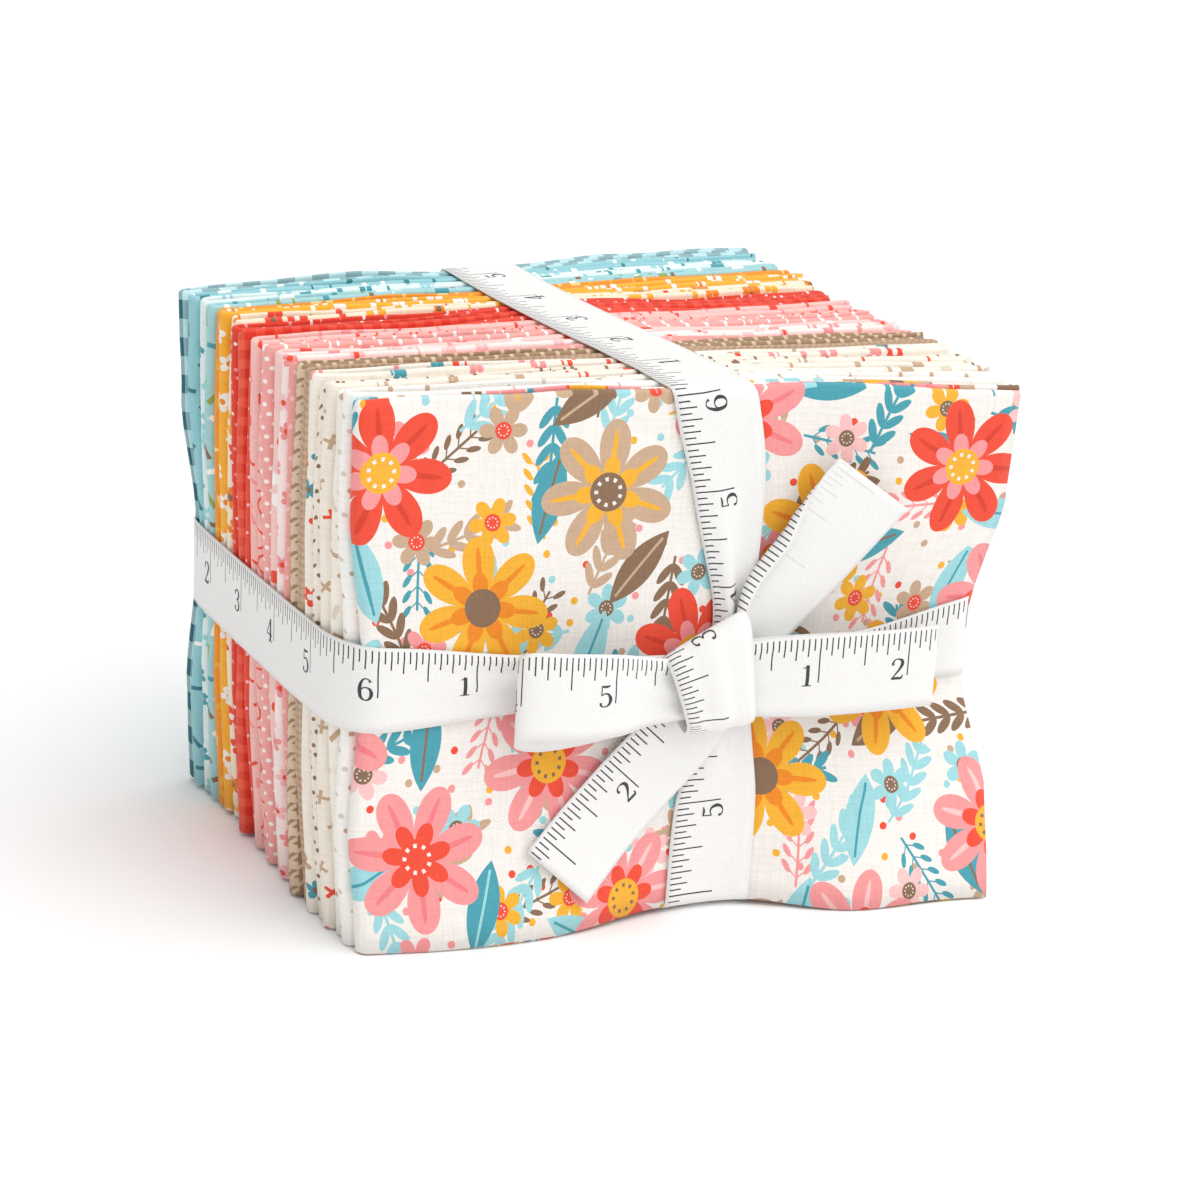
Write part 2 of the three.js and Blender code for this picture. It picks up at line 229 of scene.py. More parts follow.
def addNode(tree, kind, sources=(), out=0, **settings):  # a kind in capitals is the operation of a Math node
    made = tree.nodes.new("ShaderNodeMath" if kind.isupper() else "ShaderNode" + kind)
    if kind.isupper():
        made.operation = kind
    for name, value in settings.items():
        setattr(made, name, value)
    for socket, value in sources.items() if isinstance(sources, dict) else enumerate(sources):
        if isinstance(value, bpy.types.NodeSocket):
            tree.links.new(value, made.inputs[socket])
        elif value is not None:
            made.inputs[socket].default_value = value
    return made.outputs[out]


def startMaterial(name, roughness, specular, sheen, fuzz=0.6):  # a material and what adds its nodes
    material = bpy.data.materials.new(name)
    material.use_nodes = True
    shader = material.node_tree.nodes["Principled BSDF"]
    shader.inputs["Roughness"].default_value = roughness
    shader.inputs["Specular IOR Level"].default_value = specular
    shader.inputs["Sheen Weight"].default_value = sheen
    shader.inputs["Sheen Roughness"].default_value = fuzz
    return material, functools.partial(addNode, material.node_tree)


weaving = {
    "slubs": 0.35,  # thick stretches of thread to a millimetre
    "slubHeight": 1.2,  # against that of a thread
    "height": 0.0004,  # metres
}


def addWeave(put, place, pitch, depth):  # plain weave: threads pass over and under each other
    across, up = put("SeparateXYZ", (place,)).node.outputs[:2]
    warp = put("SINE", (put("MULTIPLY", (across, 2 * math.pi / pitch)),))
    weft = put("SINE", (put("MULTIPLY", (up, 2 * math.pi / pitch)),))
    thread = put("MULTIPLY", (warp, weft))
    slub = put("TexNoise", {"Vector": place, "Scale": weaving["slubs"], "Detail": 3})
    height = put("MULTIPLY_ADD", (slub, weaving["slubHeight"], thread))
    return put("Bump", {"Strength": depth, "Distance": weaving["height"], "Height": height})


# Printed quilting cotton: woven plain, matte, with a faint fuzz, and inks that sit in the cloth

cotton = {
    "roughness": 0.85,
    "specular": 0.25,
    "sheen": 0.12,
    "thread": 0.7,  # real threads lie 0.35 mm apart, drawn coarser to show
    "relief": 0.15,
    "slub": 0.07,  # a thick stretch of thread is that many times as wide as long
    "noiseSpan": (0.3, 0.7),  # how uneven the threads are, and how that changes their colour
    "inkTake": (0.955, 1.035),
}


def putPlace(put):  # flat cloth coordinates in millimetres
    return put("VectorMath", (put("UVMap"), (1000, 1000, 0)), operation="MULTIPLY")


def pickInk(put, chance, inks):  # one of the inks, by a chance from 0 to 1
    shade = linear(inks[0])
    for n, code in enumerate(inks[1:], 1):
        past = put("GREATER_THAN", (chance, n / len(inks)))
        shade = put("Mix", {0: past, 6: shade, 7: linear(code)}, out=2, data_type="RGBA")
    return shade


def putMotif(put, kind, size, x, y, radius, angle, petals):  # 1 inside the shape, 0 around it
    absX = put("ABSOLUTE", (x,))
    absY = put("ABSOLUTE", (y,))

    def inside(first, reach, second, width):  # 1 where both are short enough
        return put("MULTIPLY", (put("LESS_THAN", (first, reach)), put("LESS_THAN", (second, width))))

    if kind == "dot":
        return put("LESS_THAN", (radius, size))
    if kind == "ring":
        off = put("ABSOLUTE", (put("SUBTRACT", (radius, size)),))
        return put("LESS_THAN", (off, 0.3))  # half the breadth of its line
    if kind == "dash":
        return inside(absX, size, absY, 0.3 * size)
    if kind == "cross":
        near = put("MINIMUM", (absX, absY))
        far = put("MAXIMUM", (absX, absY))
        return inside(near, 0.22 * size, far, size)
    if kind == "leaf":
        run = put("MULTIPLY", (x, 1 / size))
        belly = put("MULTIPLY_ADD", (put("MULTIPLY", (run, run)), -0.36 * size, 0.36 * size))
        return put("LESS_THAN", (absY, belly))
    if kind in ("sprig", "berries"):  # pairs of leaves, or of berries on stalks, slanted along a stem
        step, tall = 0.4 * size, 0.36 * size
        slant = put("SUBTRACT", (x, absY))
        off = put("PINGPONG", (slant, step / 2))
        within = put("LESS_THAN", (put("ABSOLUTE", (slant,)), 2.5 * step))
        stem = inside(absY, 0.035 * size, absX, 2.6 * step)
        if kind == "sprig":
            rise = put("MULTIPLY", (absY, 1 / tall))
            belly = put("MULTIPLY", (rise, put("SUBTRACT", (1, rise))))
            belly = put("MULTIPLY", (put("SQRT", (belly,)), 0.32 * size))
            pair = put("LESS_THAN", (off, belly))
        else:
            away = put("SUBTRACT", (absY, 0.8 * tall))
            away = put("ADD", (put("MULTIPLY", (away, away)), put("MULTIPLY", (off, off))))
            stalk = inside(off, 0.025 * size, absY, 0.8 * tall)
            pair = put("MAXIMUM", (put("LESS_THAN", (away, (0.12 * size) ** 2)), stalk))
        return put("MAXIMUM", (put("MULTIPLY", (pair, within)), stem))
    if kind == "vein":
        return inside(absX, 0.8 * size, absY, 0.03 * size)
    if kind == "seeds":  # a ring of dots in the heart
        off = put("ABSOLUTE", (put("SUBTRACT", (radius, size)),))
        beat = put("COSINE", (put("MULTIPLY", (angle, 9)),))
        return put("MULTIPLY", (put("LESS_THAN", (off, 0.15 * size)), put("GREATER_THAN", (beat, 0.35))))
    wave = put("COSINE", (put("MULTIPLY", (angle, petals / 2)),))
    wave = put("ABSOLUTE", (wave,))  # 1 along the middles of the petals
    if kind == "streaks":  # brush strokes there
        broad = put("MULTIPLY_ADD", (radius, 0.08 / size, 0.92))
        return put("MULTIPLY", (put("LESS_THAN", (radius, size)), put("GREATER_THAN", (wave, broad))))
    wave = put("POWER", (wave, 0.7))  # petals around a heart
    return put("LESS_THAN", (radius, put("MULTIPLY_ADD", (wave, 0.6 * size, 0.4 * size))))


def putScatter(put, place, colour, layer):  # motifs strewn over the cloth, one to a cell
    pitch = layer["pitch"]
    turn = (0, 0, math.radians(layer["turn"]))
    grid = put("Mapping", (place, (*layer["start"], 0), turn, (1 / pitch, 1 / pitch, 1)))
    cell = put("TexVoronoi", {"Vector": grid, "Scale": 1, "Randomness": layer["scatter"]},
               voronoi_dimensions="2D").node
    local = put("VectorMath", (grid, cell.outputs["Position"]), operation="SUBTRACT")
    local = put("VectorMath", {0: local, "Scale": pitch}, operation="SCALE")
    chances = put("SeparateColor", (cell.outputs["Color"],)).node.outputs
    spin = put("MULTIPLY", (chances[0], 2 * math.pi))
    local = put("VectorRotate", {"Vector": local, "Angle": spin}, rotation_type="Z_AXIS")
    x, y = put("SeparateXYZ", (local,)).node.outputs[:2]
    radius = put("VectorMath", (local,), out=1, operation="LENGTH")
    angle = put("ARCTAN2", (y, x))
    shown = put("LESS_THAN", (chances[1], layer["share"]))
    for kind, part, choice in layer["motif"]:  # from the largest shape to the smallest on top of it
        mask = putMotif(put, kind, part * layer["size"], x, y, radius, angle, layer["petals"])
        mask = put("MULTIPLY", (mask, shown))
        shade = pickInk(put, chances[2], layer["inks"][choice])
        colour = put("Mix", {0: mask, 6: colour, 7: shade}, out=2, data_type="RGBA")
    return colour


def putCheck(put, place, colour, layer):  # checks woven or printed from two sets of stripes
    x, y = put("SeparateXYZ", (place,)).node.outputs[:2]
    bands = []
    for way in (x, y):
        part = put("FRACT", (put("MULTIPLY", (way, 1 / layer["pitch"])),))
        bands.append(put("LESS_THAN", (part, 0.5)))
    mask = put("MULTIPLY", (put("ADD", bands), 0.5))
    if layer.get("twill"):  # broken check: the stripes swap along a diagonal
        slope = put("MULTIPLY", (put("ADD", (x, y)), 2 / layer["pitch"]))
        over = put("LESS_THAN", (put("FRACT", (slope,)), 0.5))
        mask = put("Mix", (over, None, *bands))
    return put("Mix", {0: mask, 6: colour, 7: linear(layer["ink"])}, out=2, data_type="RGBA")


def printedCotton(name, ground, layers):
    material, put = startMaterial("cotton_" + name, cotton["roughness"], cotton["specular"], cotton["sheen"])
    place = putPlace(put)
    colour = linear(ground)
    for layer in layers:
        colour = (putCheck if "ink" in layer else putScatter)(put, place, colour, layer)
    for way in ((1, cotton["slub"], 1), (cotton["slub"], 1, 1)):  # thick and thin threads, both ways
        thread = put("VectorMath", (place, way), operation="MULTIPLY")
        fade = put("TexNoise", {"Vector": thread, "Scale": 1 / cotton["thread"], "Detail": 2})
        fade = put("MapRange", (fade, *cotton["noiseSpan"], *cotton["inkTake"]))
        colour = put("VectorMath", {0: colour, "Scale": fade}, operation="SCALE")
    return cover(material, colour, addWeave(put, place, cotton["thread"], cotton["relief"]))


cream, coral, rose, blush = "#f2ede7", "#ee4f38", "#f49a9b", "#f9c4c2"
mustard, orange, teal, aqua = "#f4b233", "#ee8a20", "#4a9fae", "#9ed6dc"
brown, tan, white = "#8a6c54", "#c9a98c", "#fbf8f3"
usual = {"turn": 25, "start": (0.3, 0.7), "scatter": 0.4, "share": 1, "petals": 5}  # of motifs, if not said


def strewn(motif, pitch, size, *inks, **more):  # one layer of a print, sizes in millimetres
    return {**usual, "motif": motif, "pitch": pitch, "size": size, "inks": inks, **more}


dots = [("dot", 1, 0)]
dashes = [("dash", 1, 0)]
blossoms = [("flower", 1, 0), ("dot", 0.3, 1)]
garden = [
    strewn(dots, 7, 1.0, [rose, mustard, aqua, coral, tan], share=0.5, scatter=0.8),
    strewn([("berries", 1, 0)], 33, 10, [mustard, brown, rose, teal], share=0.8, turn=71, start=(0.1, 0.4)),
    strewn([("sprig", 1, 0)], 27, 11.5, [teal, brown, aqua, tan], share=0.9, turn=40),
    strewn([("flower", 1, 0), ("dot", 0.34, 1), ("seeds", 0.2, 2)], 24, 6.4,
           [rose, tan, mustard, aqua, blush], [coral, brown], [cream], share=0.8, turn=12, petals=6),
    strewn([("leaf", 1, 0), ("vein", 1, 1)], 31, 12, [teal, brown, aqua, teal], [aqua, tan, teal, brown],
           share=0.75, turn=63),
    strewn([("flower", 1, 0), ("streaks", 0.86, 1), ("flower", 0.5, 2), ("dot", 0.27, 3), ("seeds", 0.18, 4)],
           45, 18.5, [coral, rose, tan, mustard, rose], ["#d8402c", "#ef7f85", mustard, orange, blush],
           [rose, coral, mustard, orange, coral], [mustard, coral, brown, brown, mustard], [cream, brown],
           petals=7, scatter=0.22, turn=33),
]
prints = [
    ("garden_print", cream, garden),
    ("white_specks", "#f8f5f0", [strewn(dots, 4.5, 0.6, [tan, "#d9cdbf"])]),
    ("cream_strokes", "#f5efe5", [strewn(dashes, 6, 1.9, [tan, "#e0d2c0"])]),
    ("cream_crosses", "#f4ecdf", [strewn([("cross", 1, 0)], 8, 1.9, [brown, coral, tan], scatter=0.2)]),
    ("cream_seeds", "#f3e9dc", [strewn(dots, 2.8, 0.55, [brown], scatter=0.3)]),
    ("cream_posies", "#f6eee2",
     [strewn(blossoms, 8.5, 2.6, [coral, rose, teal, tan], [cream, brown], share=0.8)]),
    ("brown_check", "#d1b59a", [{"pitch": 2, "ink": "#b29377"}]),
    ("brown_houndstooth", "#dcc3a9", [{"pitch": 4.4, "ink": "#a48465", "twill": True}]),
    ("rose_specks", "#efa29d", [strewn(dots, 3.2, 0.6, [blush])]),
    ("blush_posies", "#fbeae6", [strewn(blossoms, 7.5, 2.4, [rose, blush], [coral])]),
    ("blush_spots", "#f8cfca", [strewn(dots, 8, 1.7, [coral, white, rose])]),
    ("pink_pin_dots", "#f3aba6", [strewn(dots, 2.6, 0.55, [white], scatter=0.1)]),
    ("pink_rings", "#f6b9b3", [strewn([("ring", 1, 0)], 7, 2.6, [coral], scatter=0.1)]),
    ("pink_strokes", "#f7c3bd", [strewn(dashes, 5, 1.4, [coral, rose])]),
    ("red_pin_dots", "#ea4a33", [strewn(dots, 3.4, 0.45, [blush], scatter=0.1)]),
    ("red_check", "#f0624a", [{"pitch": 5, "ink": "#df3824"}]),
    ("red_specks", "#e23f2b", [strewn(dots, 2.8, 0.45, [rose, cream])]),
    ("meadow_posies", "#f6e8cf", [strewn(blossoms, 9, 3.1, [mustard, coral, orange], [cream, brown])]),
    ("yellow_posies", "#f6b136", [strewn(blossoms, 8, 2.7, [white, cream], [orange])]),
    ("orange_strokes", "#f0962a", [strewn(dashes, 5, 1.5, [mustard, "#f9d589"])]),
    ("aqua_strokes", "#a5d4d7", [strewn(dashes, 6.5, 2.2, [brown, white, "#93a85a", teal])]),
    ("pale_blue_posies", "#e3f0ee", [strewn(blossoms, 8, 2.6, [aqua, teal], [cream])]),
    ("sky_strokes", "#96cdd4", [strewn(dashes, 7, 1.9, ["#3c7f8c", white])]),
    ("teal_gingham", "#c3e4e7", [{"pitch": 10, "ink": "#17616f"}]),
]


# The fat quarters

cloth = {
    "flat": (457, 546),  # the cut
    "layerSpacing": 1 / 3,  # each piece has three layers, as shares of its own depth in the stack
    "halfLayer": 0.122,
    "bendRadius": 1.7,  # of the folds at the left ends, and of those at the right
    "returnRadius": 1,
    "halfSheet": 0.68,  # half a layer's thickness there
    "looseEnd": 1.6,  # how far the first layer stays short at the right
    "stepAt": (-36, -9),  # where the second layer moves to the middle
    "thick": 0.26,
    "runSteps": 24,
    "bendSteps": 8,
    "heightSteps": 12,
    "loopSteps": 5,
    "wave": 0.45,  # how uneven the pieces lie
    "broadWave": (16, 21),  # lengths of their waves, across and up
    "fineWave": (8, 30),
    "edgeWave": 0.45,  # how uneven their edges lie
    "hemWave": 0.25,
    "hemRipple": 9,
    "endRipples": (13, 5.1),  # lengths of the waves up the ends
    "topRipples": [(17, 1, 0.6), (6.3, 2, 0.4)],  # along the top: length, change from layer to layer, height
}
# how far each piece's left, right and top edges stay behind the outline, how far its left end leans in below
# and above the level band, and where its third layer ends
fatQuarters = [
    (2.4, -1.8, 0.6, 3.0, 0.0, 2), (1.2, 0.2, 0.0, 2.6, 0.4, -4), (1.9, -1.0, 1.3, 3.1, 0.2, 6),
    (0.4, 0.2, 0.5, 2.4, 0.9, 0), (1.3, -0.8, 1.7, 2.6, 0.0, 8), (0.3, 0.2, 0.3, 2.2, 0.7, -2),
    (1.0, -0.6, 1.1, 2.7, 0.3, 4), (0.2, 0.6, 0.4, 2.1, 0.8, -3), (1.4, -0.6, 1.8, 2.7, 0.1, 7),
    (0.5, 0.9, 0.9, 2.3, 1.0, 1), (1.1, -0.2, 1.6, 3.3, 0.4, -4), (0.0, 1.0, 0.6, 2.9, 0.0, 5),
    (0.9, -0.6, 1.9, 3.5, 0.6, 9), (0.3, 0.4, 1.3, 3.2, 0.2, -1), (1.2, -0.4, 2.6, 3.8, 0.8, 3),
    (0.1, 0.8, 1.8, 3.0, 0.3, -5), (0.8, -1.4, 2.2, 3.6, 0.0, 6), (1.5, -0.8, 1.0, 3.4, 0.7, 0),
    (0.4, -1.8, 0.2, 3.5, 0.5, 8), (1.0, -1.2, 0.9, 2.6, 0.9, -3), (0.2, 0.4, 0.6, 3.4, 0.1, 4),
    (0.6, 0.2, 0.6, 2.6, 0.0, -2), (-0.6, 1.0, 0.2, 2.6, -0.6, 5), (-1.2, 0.0, 0.0, 3.8, -1.0, 1),
]


def chart(finer):  # the cut folded in four across, row by row: side, height, place in a fold, in the cut
    up = np.linspace(0, 1, cloth["heightSteps"] * finer)
    none = np.zeros_like(up)
    turn = np.linspace(0, math.pi, cloth["loopSteps"] + 2)[1:-1]
    quarter = cloth["flat"][1] / 4
    parts = [
        (none + 1, up, none, up * quarter),
        (np.cos(turn), 1 + 0 * turn, np.sin(turn), quarter + 0 * turn),
        (none - 1, 1 - up, none, (1 + up) * quarter),
        (-2 / 3 - np.cos(turn) / 3, 0 * turn, -np.sin(turn) / 3, 2 * quarter + 0 * turn),
        (none - 1 / 3, up, none, (2 + up) * quarter),
        (-np.cos(turn) / 3, 1 + 0 * turn, np.sin(turn) / 3, 3 * quarter + 0 * turn),
        (none + 1 / 3, 1 - up, none, (3 + up) * quarter),
    ]
    return [np.concatenate(column) for column in zip(*parts)]


def edgesOf(piece, z, index):  # where a piece's folded and loose ends lie at each height
    left, right, _, low, high, _ = piece
    middle = sum(stack["pressedZ"]) / 2
    lean = np.where(z < middle, low * (1 - z / middle), high * (z / middle - 1))
    free = 1 - underLevel(z)
    long, short = cloth["endRipples"]
    sway = cloth["edgeWave"] * free * np.sin(z / long + 2.4 * index) * (0.6 + 0.4 * np.sin(z / short + index))
    share = (index + 0.5) / count
    leftEnd = mix(bandLeft(share), -stack["halfWidth"] + left + lean + sway, free)
    loose = stack["halfWidth"] - right + stack["rightSpread"] * share
    loose = loose - stack["curlIn"] * outBelow(z) * (1 - share)
    rightEnd = mix(bandRight(share), loose + 0.8 * sway, free)
    return leftEnd, rightEnd


def planOf(piece, index, side, z, finer):  # the back-and-forth section: x, depth share and layer of each row
    leftEnd, rightEnd = edgesOf(piece, z, index)
    spacing, reach = cloth["layerSpacing"], cloth["halfLayer"] * side
    third, back = 0.5 + spacing, 0.5 + spacing / 2
    leftStart = leftEnd + cloth["bendRadius"] + cloth["halfSheet"]
    rightStart = rightEnd - cloth["returnRadius"] - cloth["halfSheet"]
    runSteps = cloth["runSteps"] * finer
    bends = np.linspace(0, math.pi, cloth["bendSteps"] + 1)[1:-1]
    rows = []
    for t in np.linspace(0, 1, runSteps):
        rows.append((mix(rightEnd - cloth["looseEnd"], leftStart, t), 0.5 - spacing - reach, 0))
    for a in bends:
        x = leftStart - (cloth["bendRadius"] + cloth["halfSheet"] * side) * math.sin(a)
        rows.append((x, 0.5 - (spacing + reach) * math.cos(a), 0 if a < math.pi / 2 else 1))
    for t in np.linspace(0, 1, runSteps):
        x = mix(leftStart, rightStart, t)
        moved = np.clip((x - cloth["stepAt"][0]) / (cloth["stepAt"][1] - cloth["stepAt"][0]), 0, 1)
        rows.append((x, mix(third, 0.5, moved * moved * (3 - 2 * moved)) + reach, 1))
    for a in bends:
        x = rightStart + (cloth["returnRadius"] - cloth["halfSheet"] * side) * math.sin(a)
        rows.append((x, back - (spacing / 2 - reach) * math.cos(a), 1 if a < math.pi / 2 else 2))
    for t in np.linspace(0, 1, runSteps // 2):
        rows.append((mix(rightStart, piece[5], t), third - reach, 2))
    x = np.array([row[0] + 0 * z for row in rows])
    depth = np.array([row[1] + 0 * z for row in rows])
    layer = np.array([row[2] for row in rows])[:, None]
    return x, depth, layer


creases = {
    "knot": (6, 68),  # they run outwards from there
    "fade": 0.75,  # and die away within the front piece
    "rows": [  # direction in degrees, height, width, from, to
        (38, 1.5, 0.1, 26, 84), (62, 0.9, 0.07, 30, 66), (118, 1.3, 0.1, 28, 72), (150, 1.1, 0.09, 30, 90),
        (205, 1.2, 0.09, 34, 88), (238, 1.4, 0.1, 24, 70), (297, 1.3, 0.1, 24, 62), (325, 1.8, 0.1, 28, 92)],
}


def creased(x, z):  # how far the creases stand out
    away, above = x - creases["knot"][0], z - creases["knot"][1]
    radius = np.hypot(away, above)
    angle = np.degrees(np.arctan2(above, away)) % 360
    total = 0 * x
    for direction, high, width, start, end in creases["rows"]:
        off = (angle - direction + 180) % 360 - 180
        along = np.clip((radius - start) / (end - start), 0, 1)
        total = total + high * np.exp(-(np.radians(off) / width) ** 2) * np.sin(math.pi * along) ** 2
    return total * (1 - underLevel(z)) * (1 - underUpright(x))


def foldedCloth(name, piece, index, material, finer):
    side, rise, loop, across = chart(finer)
    x, depth, layer = planOf(piece, index, side, rise * stack["height"], finer)
    share = (index + depth) / count
    halfUp = stack["height"] / 2
    pitch = (backFace(0, halfUp) - frontFace(0, halfUp)) / count
    bulge = cloth["halfLayer"] * pitch  # radius of the outer fold along the top
    free = 1 - underUpright(x)
    sag = stack["sag"] * outRight(x) * np.exp(-stack["sagReach"] * share)
    lift = stack["leftRise"] * share * np.clip(-x / stack["halfWidth"], 0, 1)
    seed = 1.7 * index + 2.9 * layer  # no two layers wave alike
    ripple = sum(high * np.sin(x / length + turn * seed) for length, turn, high in cloth["topRipples"])
    edge = cloth["edgeWave"] * (ripple - 0.6 + 0.5 * np.sin(3 * seed))
    looseTop = stack["height"] + stack["crown"] - piece[2] - sag + lift + topRise(x, share) + edge
    top = mix(bandTop(share), looseTop, free)
    looseBottom = cloth["hemWave"] * (1 + np.sin(x / cloth["hemRipple"] + seed)) * (np.abs(side) > 0.9) + lift
    bottom = mix(bandUnder(share), looseBottom, free)
    z = bottom + bulge / 3 * (side < 0) + rise * (top - bulge - bottom) + loop * bulge
    wide, tall = cloth["broadWave"]
    sway = np.sin(x / wide + 11 * share) * np.sin(z / tall + 9 * share)  # which changes from piece to piece
    wide, tall = cloth["fineWave"]
    sway = sway + 0.6 * np.sin(x / wide + 19 * share + z / tall)
    y = depthAt(x, z, share) + cloth["wave"] * sway * free * (1 - underLevel(z))
    y = y - creased(x, z) * np.clip(1 - creases["fade"] * share * count, 0, 1)
    steps = np.hypot(np.diff(x.mean(axis=1)), pitch * np.diff(depth.mean(axis=1)))
    along = np.concatenate([[0], np.cumsum(steps)]) * cloth["flat"][0] / steps.sum()
    rows, columns = x.shape
    number = np.arange(rows * columns).reshape(rows, columns)
    corners = [number[:-1, :-1], number[:-1, 1:], number[1:, 1:], number[1:, :-1]]
    faces = np.stack(corners, axis=-1).reshape(-1, 4)
    flat = np.stack(np.broadcast_arrays(along[:, None] * mm, across[None, :] * mm), axis=-1).reshape(-1, 2)
    points = np.stack([x, y, z], axis=-1).reshape(-1, 3)
    made = addMesh(name, points, faces.tolist(), flat[faces.ravel()], material)
    hem = made.modifiers.new("thickness of the cloth", "SOLIDIFY")
    hem.thickness = cloth["thick"] * mm
    hem.offset = 0
    return made


for index, (node, piece) in enumerate(zip(clothNodes, fatQuarters)):
    material = printedCotton(*prints[index])
    shown = index in (0, count - 1)  # the two outer pieces show a whole face
    made = foldedCloth(node + "_cloth", piece, index, material, 2 if shown else 1)
    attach(made, "root")
    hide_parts(node)
print("fat quarters folded")


# The ribbon

ribbon = {
    "width": 23.2,
    "thick": 0.35,
    "proud": 0.75,  # from the stack to the middle of the tape
    "columns": 9,
    "ringRows": 300,
    "depthSteps": 40,
    "cornerSoft": 1.6,  # how far the tape rounds the stack's corners, and where it is laid round slackly
    "slackSoft": 7,
    "pleats": 2.5,  # half waves across it where it is gathered
    "reverse": 0.05,  # where the reverse starts in the flat coordinates, in metres
    "reverseFrom": 40,  # millimetres, between the two sides there
    "colour": "#f0efed",
    "thread": 0.8,  # real threads lie 0.4 mm apart, drawn coarser to show
    "relief": 0.2,
}
ticks = [(1, 13.5), (1 / 2, 9.5), (1 / 4, 7), (1 / 8, 6), (1 / 16, 4.3)]  # part of an inch, length
ink = {
    "colour": "#3d3c3f",
    "worn": "#6d6c70",
    "wear": 0.25,
    "wornPatches": 1.5,  # to a millimetre
    "wearSpan": (0.35, 0.75),
    "width": 0.19,  # half a mark's
    "margin": 0.9,
    "showThrough": 0.15,  # how strongly the marks show on the reverse
    "lift": 0.05,
}


def wovenTape():  # bleached cotton tape: dense, matte, bright, with inked measuring marks along one edge
    material, put = startMaterial("bleached_cotton_tape", roughness=0.75, specular=0.3, sheen=0.1)
    place = putPlace(put)
    along, across = put("SeparateXYZ", (place,)).node.outputs[:2]
    behind = put("GREATER_THAN", (across, ribbon["reverseFrom"]))
    across = put("MULTIPLY_ADD", (behind, -ribbon["reverse"] / mm, across))
    marks = None
    for part, length in ticks:
        away = put("PINGPONG", (along, part * inch / 2))
        line = put("LESS_THAN", (away, ink["width"]))
        reach = put("LESS_THAN", (across, length))
        line = put("MULTIPLY", (line, reach))
        marks = line if marks is None else put("MAXIMUM", (marks, line))
    inside = put("GREATER_THAN", (across, ink["margin"]))
    strength = put("MapRange", (behind, 0, 1, 1, ink["showThrough"]))
    marks = put("MULTIPLY", (put("MULTIPLY", (marks, inside)), strength))
    inks = {0: marks, 6: linear(ribbon["colour"]), 7: linear(ink["colour"])}
    colour = put("Mix", inks, out=2, data_type="RGBA")
    return cover(material, colour, addWeave(put, place, ribbon["thread"], ribbon["relief"]))


def printedInk():  # pigment ink on cotton: dark, matte, no film of its own
    material, put = startMaterial("pigment_ink_on_cotton", roughness=0.8, specular=0.25, sheen=0.05)
    wear = put("TexNoise", {"Vector": putPlace(put), "Scale": ink["wornPatches"], "Detail": 3})
    wear = put("MapRange", (wear, *ink["wearSpan"], 0, ink["wear"]))
    inks = {0: wear, 6: linear(ink["colour"]), 7: linear(ink["worn"])}
    return cover(material, put("Mix", inks, out=2, data_type="RGBA"))


tape = wovenTape()
figures = printedInk()
runs = []  # the printed side of each length of ribbon: its grid of points, and how far along they lie


def smoothRing(values, width):
    window = np.hanning(2 * width + 3)[1:-1]
    padded = np.pad(values, ((width, width), (0, 0)), mode="wrap")
    window = window / window.sum()
    return np.stack([np.convolve(column, window, mode="valid") for column in padded.T], axis=-1)


def stepsAlong(line):  # from each point of a line to the next
    return np.linalg.norm(np.diff(line, axis=0), axis=1)


def lengthsAlong(line):  # how far along a line its points lie
    return np.concatenate([[0], np.cumsum(stepsAlong(line))])


def resample(points, rows):  # the same ring with points at even distances
    points = np.concatenate([points, points[:1]])
    length = lengthsAlong(points)
    at = np.linspace(0, length[-1], rows + 1)[:-1]
    return np.stack([np.interp(at, length, column) for column in points.T], axis=-1), length[-1]


def layRibbon(name, node, grid, along, ring):
    # grid: rows along the tape by columns from the marked edge; along: length at each row, and at the end
    rows, columns, _ = grid.shape
    forward = np.roll(grid, -1, axis=0) - np.roll(grid, 1, axis=0) if ring else np.gradient(grid, axis=0)
    forward = forward * np.sign(along[1] - along[0])
    normals = np.cross(forward, -np.gradient(grid, axis=1))
    normals = normals / np.linalg.norm(normals, axis=2, keepdims=True)
    half = normals * ribbon["thick"] / 2
    points = np.concatenate([(grid + half).reshape(-1, 3), (grid - half).reshape(-1, 3)])
    across = np.linspace(0, ribbon["width"], columns)
    number = np.arange(2 * rows * columns).reshape(2, rows, columns)
    faces, corners = [], []

    def quad(*places):  # places: (side, row, column)
        faces.append([number[s, k % rows, j] for s, k, j in places])
        corners.extend((along[k] * mm, across[j] * mm + ribbon["reverse"] * s) for s, k, j in places)

    for k in range(rows if ring else rows - 1):
        for j in range(columns - 1):
            quad((0, k, j), (0, k + 1, j), (0, k + 1, j + 1), (0, k, j + 1))
            quad((1, k, j), (1, k, j + 1), (1, k + 1, j + 1), (1, k + 1, j))
        quad((0, k, 0), (1, k, 0), (1, k + 1, 0), (0, k + 1, 0))
        quad((0, k, columns - 1), (0, k + 1, columns - 1), (1, k + 1, columns - 1), (1, k, columns - 1))
    for j in range(0 if ring else columns - 1):
        quad((0, 0, j), (0, 0, j + 1), (1, 0, j + 1), (1, 0, j))
        quad((0, rows - 1, j), (1, rows - 1, j), (1, rows - 1, j + 1), (0, rows - 1, j + 1))
    if along[1] > along[0]:
        faces = [face[::-1] for face in faces]
        corners = [corners[4 * n + m] for n in range(len(faces)) for m in (3, 2, 1, 0)]
    made = addMesh(name, points, faces, corners, tape)
    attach(made, "root")
    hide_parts(node)
    keepRun(grid + half + normals * ink["lift"], along, ring)


